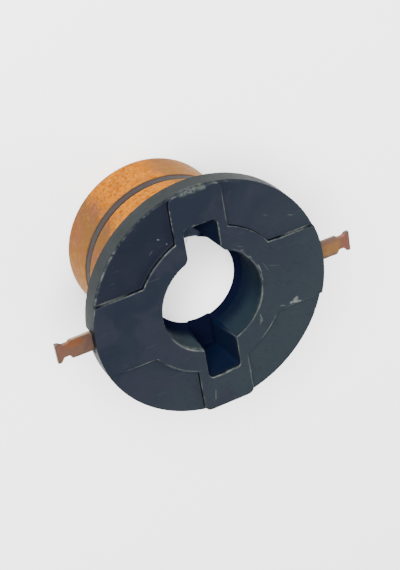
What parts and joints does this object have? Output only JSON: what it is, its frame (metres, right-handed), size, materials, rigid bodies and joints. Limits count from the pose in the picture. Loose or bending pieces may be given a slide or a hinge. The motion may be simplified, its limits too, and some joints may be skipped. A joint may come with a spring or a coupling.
{
  "type": "alternator slip ring",
  "caption": "Slip ring of copper rings and strip leads moulded into a flanged phenolic hub, with a stepped shaft bore, wire slots and hooked terminals.",
  "frame": {"origin": "on the axis, in the plane of the drum's rear end, which is the bottom centre of the bounding box", "axes": "+Z along the bore axis towards the flange face, +X towards the terminal of the rear ring, +Y towards one wire slot"},
  "size_m": [0.0584, 0.0452, 0.0293],
  "materials": {
    "hub": "charcoal phenolic moulding, satin, with fine pale scratches",
    "ring": "turned copper, tan and mottled",
    "lead": "oxidised copper strip"
  },
  "bodies": {
    "root": {"moulded_hub": "hub", "rear_ring": "ring", "front_ring": "ring", "front_ring_lead": "lead", "rear_ring_lead": "lead"}
  },
  "joints": []
}
